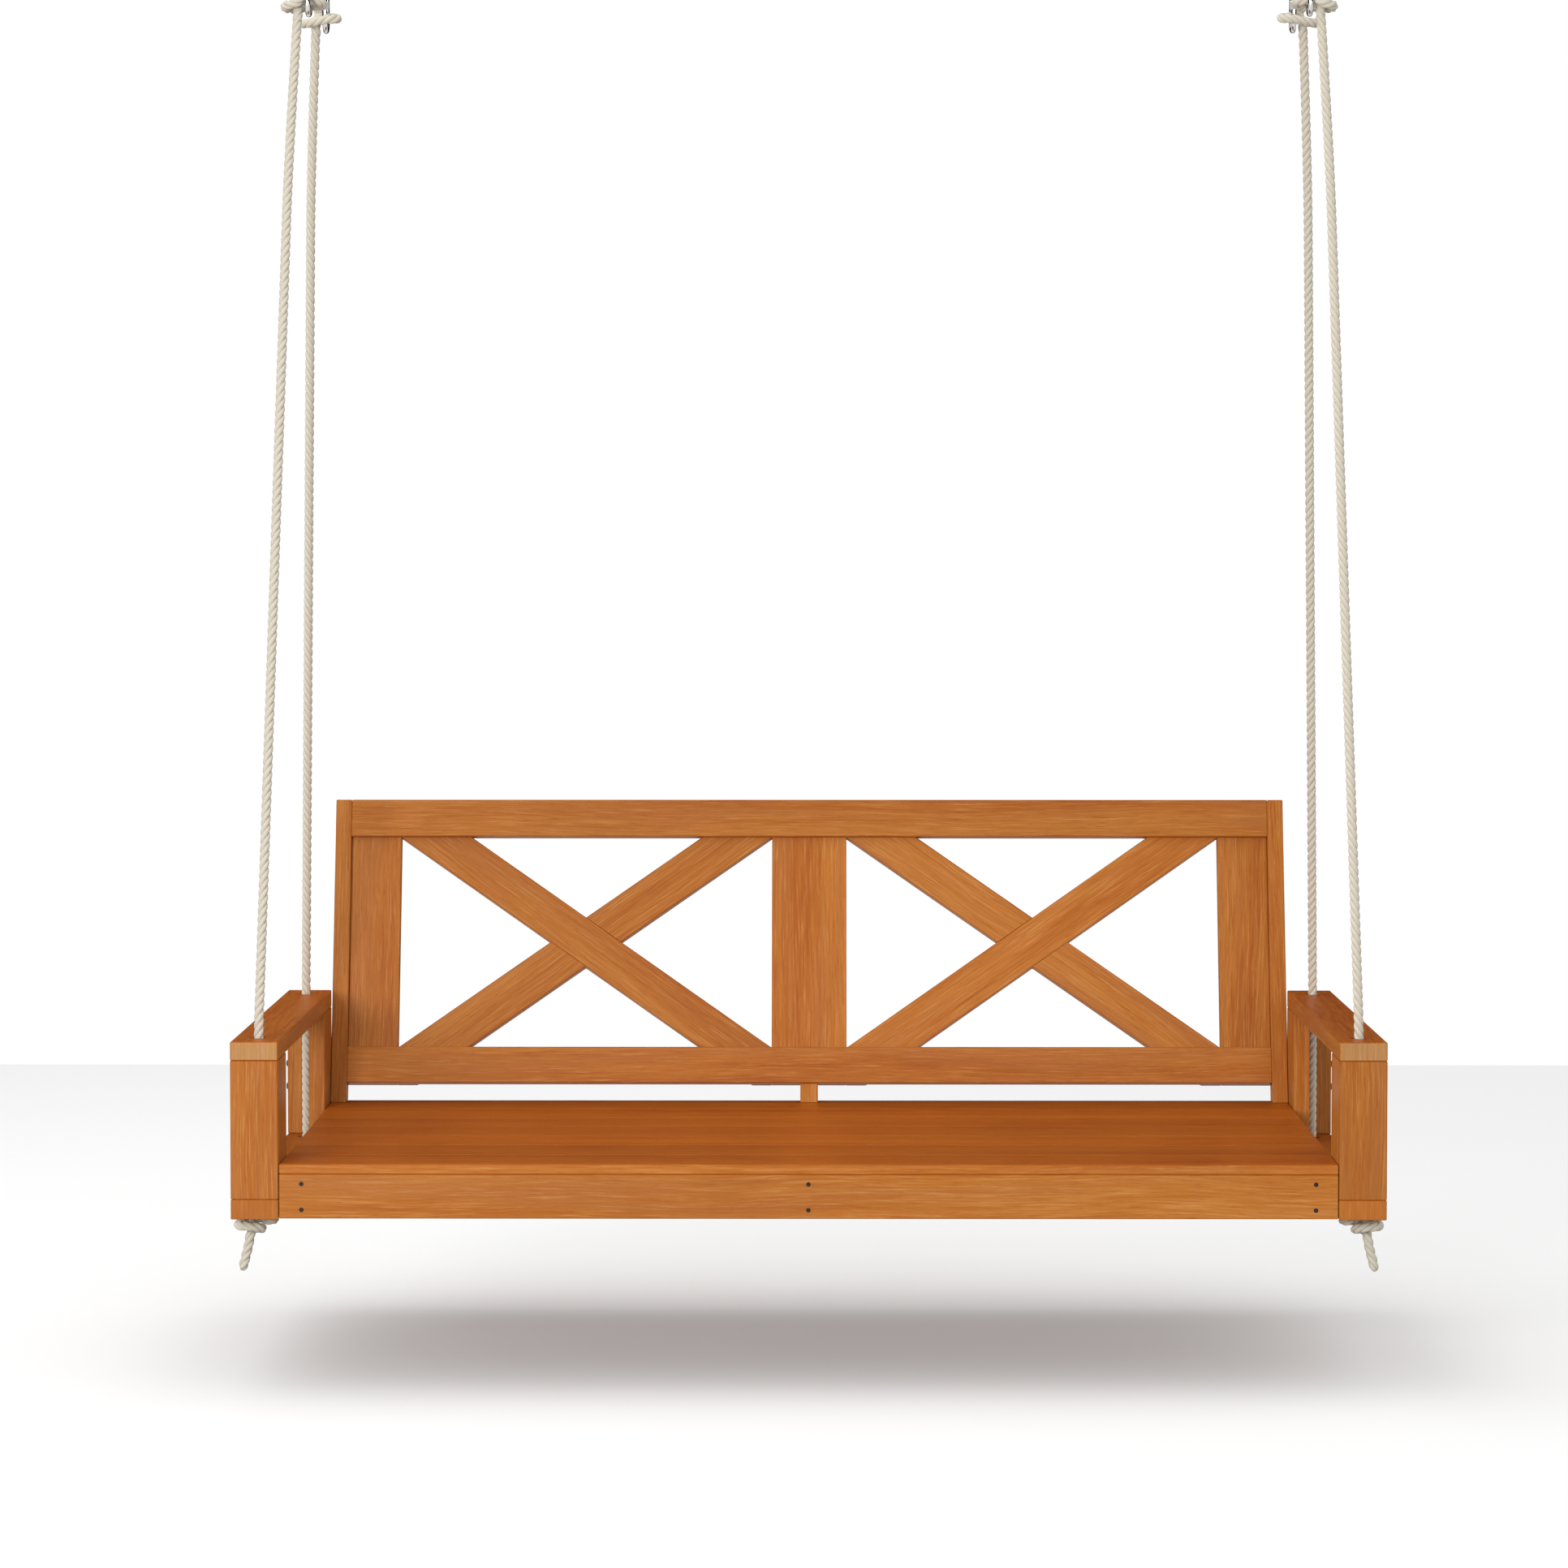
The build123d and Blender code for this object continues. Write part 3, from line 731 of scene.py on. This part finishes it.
@dataclass
class Ropes:
    """The four ropes, each with its leg through the arm, its stopper knot and its hitch on a link."""

    maker: RopeMaker
    hanger_x: float = 710.5
    hanger_y: float = 124.0
    pivot_z: float = -47.0
    arm_x: float = 767.0
    rope_y: float = 342.0
    arm_top: float = -1559.0
    base: float = -1806.0
    link_bottom: tuple[float, float] = (-78.5, -77.2)   # below the pivot, front and rear
    hitch_rise: float = 9.0         # above the lower end of the link
    sink: float = 3.0               # the rope's end runs this far into its hitch
    leg_rises: tuple[float, float] = (4.0, 163.0)       # points in the arm, above the sill's underside
    low_rises: tuple[float, float] = (2.5, 88.0)        # and just above the arm, from its top
    bend_length: float = 200.0      # where the rope bends in, down from the hitch
    bend_x: float = 736.5           # how far out it is there
    top_x: float = 725.5            # and at the hitch
    knot_taper: float = 9.0 * MM
    hitch_taper: float = 6.0 * MM
    blend_above: float = 0.025      # metres over the arm, where the rope starts to follow the bench
    blend_below: float = 0.035      # metres under its top, where the rope follows it fully
    stopper_points: tuple[Point, ...] = (
        (0, 0, 14), (0, 0, 2), (-3, 1, -6), (-12, -6, -8), (-20, -11, -7), (-22, 1, -7), (-15, 12, -8),
        (-2, 17, -8), (14, 15, -10), (26, 8, -13), (30, -3, -15), (24, -14, -15), (9, -19, -15),
        (-4, -15, -18), (-5, -3, -20), (4, 5, -20), (11, 3, -23), (13, 0, -31), (15, 0.5, -44),
        (19.5, 1.2, -61), (24, 2, -79),
    )
    hitch_points: tuple[Point, ...] = (
        (15.4, 0, -4), (15, 0, 10), (14, 0, 22), (6, -3, 25), (-6, -3, 24), (-16, -6, 23), (-19, -18, 23),
        (-13, -28, 23), (0, -28, 22), (14, -26, 19), (27, -20, 16), (34, -8, 15), (33, 6, 15), (25, 14, 15),
        (14, 15, 17), (9, 13, 25), (14, 11, 36), (16, 11, 46),
    )

    @property
    def lean(self) -> float:
        """How far the ropes lean from upright, in radians."""
        drop = self.pivot_z - self.arm_top
        return math.atan2(self.rope_y - self.hanger_y, drop)

    def on_line(self, side: Side, end: End, x: float, rise: float) -> Point:
        """A point on the line that a rope hangs along, in metres.

        Args:
            side: which side of the bench.
            end: which end of the arm.
            x: how far out the point is, in millimetres.
            rise: its height above the top of the arm, in millimetres.

        Returns:
            The point.
        """
        y = end.value * (self.rope_y - rise * math.tan(self.lean))
        return (side.value * x * MM, y * MM, (self.arm_top + rise) * MM)

    def long_route(self, side: Side, end: End) -> list[Point]:
        """The control points of a rope from inside its sill up to its hitch.

        Args:
            side: which side of the bench.
            end: which end of the arm.

        Returns:
            The points, in metres.
        """
        hole = (side.value * self.arm_x * MM, end.value * self.rope_y * MM)
        hitch = (self.link_bottom[end is End.REAR] + self.hitch_rise) * math.cos(self.lean)
        top_rise = self.pivot_z - self.arm_top + hitch + self.sink
        bend = top_rise - self.bend_length
        share = (self.bend_x - self.arm_x) / bend
        low = [(*hole, (self.base + rise) * MM) for rise in self.leg_rises]
        rises = (*self.low_rises, bend - self.bend_length, bend)
        high = [self.on_line(side, end, self.arm_x + share * rise, rise) for rise in rises]
        return [*low, *high, self.on_line(side, end, self.top_x, top_rise)]

    def stopper_route(self, side: Side, end: End) -> list[Point]:
        """The control points of a stopper knot and the tail of its rope.

        Args:
            side: which side of the bench.
            end: which end of the arm.

        Returns:
            The points, in metres.
        """
        return [
            (
                side.value * (self.arm_x + out) * MM,
                (end.value * self.rope_y + y) * MM,
                (self.base + z) * MM,
            )
            for out, y, z in self.stopper_points
        ]

    def hitch_route(self, side: Side, end: End) -> list[Point]:
        """The control points of a hitch round its link and its own rope.

        Args:
            side: which side of the bench.
            end: which end of the arm.

        Returns:
            The points, in metres.
        """
        up = Vector((0.0, -end.value * math.sin(self.lean), math.cos(self.lean)))
        across = Vector((0.0, math.cos(self.lean), end.value * math.sin(self.lean)))
        pivot = Vector((side.value * self.hanger_x, end.value * self.hanger_y, self.pivot_z))
        low = self.link_bottom[end is End.REAR]
        route = []
        for out, depth, rise in self.hitch_points:
            at = pivot + Vector((side.value * out, 0, 0)) + end.value * depth * across + (low + rise) * up
            route.append(tuple(at * MM))
        return route

    def build(self) -> None:
        for end in End:
            for side in Side:
                tag = f"{end.name.lower()}_{side.name.lower()}"
                hand = side.value * end.value
                body = "front_ropes" if end is End.FRONT else "rear_ropes"
                step = self.maker.twist.knot_step
                route = Route(f"rope_{tag}", self.long_route(side, end))
                points = route.even(self.maker.twist.step)
                rope = self.maker.build(f"laid_rope_{tag}", points, hand)
                knot_line = Route(f"stopper_{tag}", self.stopper_route(side, end)).even(step)
                knot = self.maker.build(f"stopper_{tag}", knot_line, hand, taper=(0.0, self.knot_taper))
                hitch_line = Route(f"hitch_{tag}", self.hitch_route(side, end)).even(step)
                hitch = self.maker.build(f"hitch_{tag}", hitch_line, hand, taper=(0.0, self.hitch_taper))
                if end is End.FRONT:
                    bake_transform(rope)
                else:
                    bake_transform(rope)
                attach(knot, "bench")
                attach(hitch, body)
                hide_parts(f"rope_{tag}", f"rope_leg_{tag}")
                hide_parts(f"stopper_knots_{end.name.lower()}")
                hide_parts(f"hitches_{end.name.lower()}")
                LOG.info("rope %s: %.3f m", tag, route.length)


# ---------------------------------------------------------------- fittings


@dataclass
class Fittings:
    """The plated eye bolts, links and sleeve nuts, and the black screws."""

    plate: Metal = Metal("plated_steel", (0.66, 0.66, 0.66, 1.0), 0.10, 1.0)
    screw: Metal = Metal("black_screw", (0.012, 0.012, 0.014, 1.0), 0.42, 0.6)

    def dress(self, nodes: dict[str, bpy.types.Object]) -> int:
        """Gives every metal node its finish.

        Args:
            nodes: the part's nodes by name.

        Returns:
            How many nodes were dressed.
        """
        plated, black = self.plate.material(), self.screw.material()
        count = 0
        for name, node in sorted(nodes.items()):
            if name.startswith(("eye_bolts", "link")):
                put_material(node, plated)
                count += 1
            elif name.endswith("screws"):
                put_material(node, black)
                count += 1
        return count


# ---------------------------------------------------------------- studio


@dataclass
class Studio:
    """A pale floor, soft lights, a white surround and the camera."""

    floor_z: float = -2.041
    floor_near: float = -14.0
    floor_far: float = 3.94
    floor_half_width: float = 14.0
    floor_grey: float = 0.74
    floor_glow: float = 0.15
    bounce_grey: float = 0.38       # the floor, to light that bounces
    camera_at: Point = (0.00983, -7.5983, -0.84404)
    camera_pitch_down: float = 0.04968
    camera_turn: float = 0.00605
    lens: float = 120.0
    card: Point = (-0.24, -0.96, 0.14)      # towards the white card that the metal mirrors

    def build(self) -> None:
        """Makes the whole studio."""
        self.floor()
        self.surround()
        self.lights()
        self.camera()

    def floor(self) -> None:
        """The floor, whose far edge lies well behind the bench."""
        mesh = bpy.data.meshes.new("floor")
        half, near, far, z = self.floor_half_width, self.floor_near, self.floor_far, self.floor_z
        outline = [(-half, near, z), (half, near, z), (half, far, z), (-half, far, z)]
        mesh.from_pydata(outline, [], [(0, 1, 2, 3)])
        floor = bpy.data.objects.new("floor", mesh)
        bpy.context.scene.collection.objects.link(floor)
        material, t, shader = new_material("pale_floor")
        shader.inputs["Base Color"].default_value = (*[self.floor_grey] * 3, 1.0)
        shader.inputs["Roughness"].default_value = 0.9
        shader.inputs["Specular IOR Level"].default_value = 0.0
        shader.inputs["Emission Color"].default_value = (1.0, 1.0, 1.0, 1.0)
        shader.inputs["Emission Strength"].default_value = self.floor_glow
        dim = t.add("ShaderNodeBsdfDiffuse", {"Color": (*[self.bounce_grey] * 3, 1.0)}).outputs[0]
        bounce = t.add("ShaderNodeLightPath").outputs["Is Diffuse Ray"]
        both = t.add("ShaderNodeMixShader", {0: bounce, 1: shader.outputs[0], 2: dim}).outputs[0]
        t.tree.links.new(both, t.tree.nodes["Material Output"].inputs["Surface"])
        put_material(floor, material)

    def surround(self) -> None:
        """A white surround that lights the bench softly, darker low down and behind the camera."""
        world = bpy.data.worlds.new("surround")
        bpy.context.scene.world = world
        world.use_nodes = True
        t = Tree(world.node_tree)
        background = world.node_tree.nodes["Background"]
        direction = t.add("ShaderNodeTexCoord").outputs["Generated"]
        parts = t.add("ShaderNodeSeparateXYZ", {0: direction}).outputs
        rise = t.spread(parts["Z"], -1.0, 1.0, 0.0, 1.0)
        grey = {level: (level, level, level, 1.0) for level in (0.015, 0.30, 0.45, 0.75, 1.0)}
        soft = t.ramp(rise, [(0.0, grey[0.30]), (0.5, grey[0.45]), (0.70, grey[0.75]), (1.0, grey[1.0])])
        sharp = t.ramp(rise, [(0.0, grey[0.015]), (0.86, grey[0.015]), (0.93, grey[0.75]), (1.0, grey[1.0])])
        toward = t.add("ShaderNodeVectorMath", {0: direction, 1: self.card}, operation="DOT_PRODUCT")
        sharp = t.mix(t.spread(toward.outputs["Value"], 0.62, 0.78, 0.0, 1.0), sharp, grey[1.0])
        path = t.add("ShaderNodeLightPath").outputs
        colour = t.mix(path["Is Glossy Ray"], soft, sharp)
        colour = t.mix(path["Is Camera Ray"], colour, grey[1.0])
        t.tree.links.new(colour, background.inputs["Color"])
        background.inputs["Strength"].default_value = 1.0

    def lights(self) -> None:
        """Three soft panels: over the bench, front left and front right."""
        self.panel("overhead", (-1.1, 0.9, 2.2), (0.0, 0.0, -1.9), 3.4, 3.4, 48.0)
        self.panel("front_left", (-3.4, -6.8, 0.0), (0.0, 0.0, -1.5), 2.6, 2.6, 330.0)
        self.panel("front_right", (3.6, -6.2, -0.9), (0.0, 0.0, -1.4), 2.2, 2.2, 60.0)

    @staticmethod
    def panel(name: str, at: Point, aim: Point, width: float, height: float, power: float) -> None:
        """One soft light panel.

        Args:
            name: the light's name.
            at: where it stands.
            aim: the point that it faces.
            width: its width in metres.
            height: its height in metres.
            power: its power in watts.
        """
        data = bpy.data.lights.new(name, "AREA")
        data.shape = "RECTANGLE"
        data.size, data.size_y, data.energy = width, height, power
        light = bpy.data.objects.new(name, data)
        light.location = at
        light.rotation_euler = (Vector(aim) - Vector(at)).to_track_quat("-Z", "Y").to_euler()
        bpy.context.scene.collection.objects.link(light)

    def camera(self) -> None:
        """The camera, straight in front of the bench and a little above its seat."""
        data = bpy.data.cameras.new("camera")
        data.lens, data.sensor_width = self.lens, 36.0
        data.clip_start, data.clip_end = 0.1, 100.0
        camera = bpy.data.objects.new("camera", data)
        camera.location = self.camera_at
        camera.rotation_euler = (math.pi / 2 - self.camera_pitch_down, 0.0, self.camera_turn)
        bpy.context.scene.collection.objects.link(camera)
        bpy.context.scene.camera = camera


def main() -> None:
    """Builds every sub-assembly in order."""
    logging.basicConfig(level=logging.INFO, format="%(name)s: %(message)s")
    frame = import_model()
    bpy.context.scene.view_settings.view_transform = "Standard"
    Studio().build()
    Ropes(RopeMaker(Twist(), CottonRope().material())).build()
    LOG.info("%d boards", Timber().dress(frame["nodes"]))
    LOG.info("%d metal nodes", Fittings().dress(frame["nodes"]))


if __name__ == "__main__":
    main()
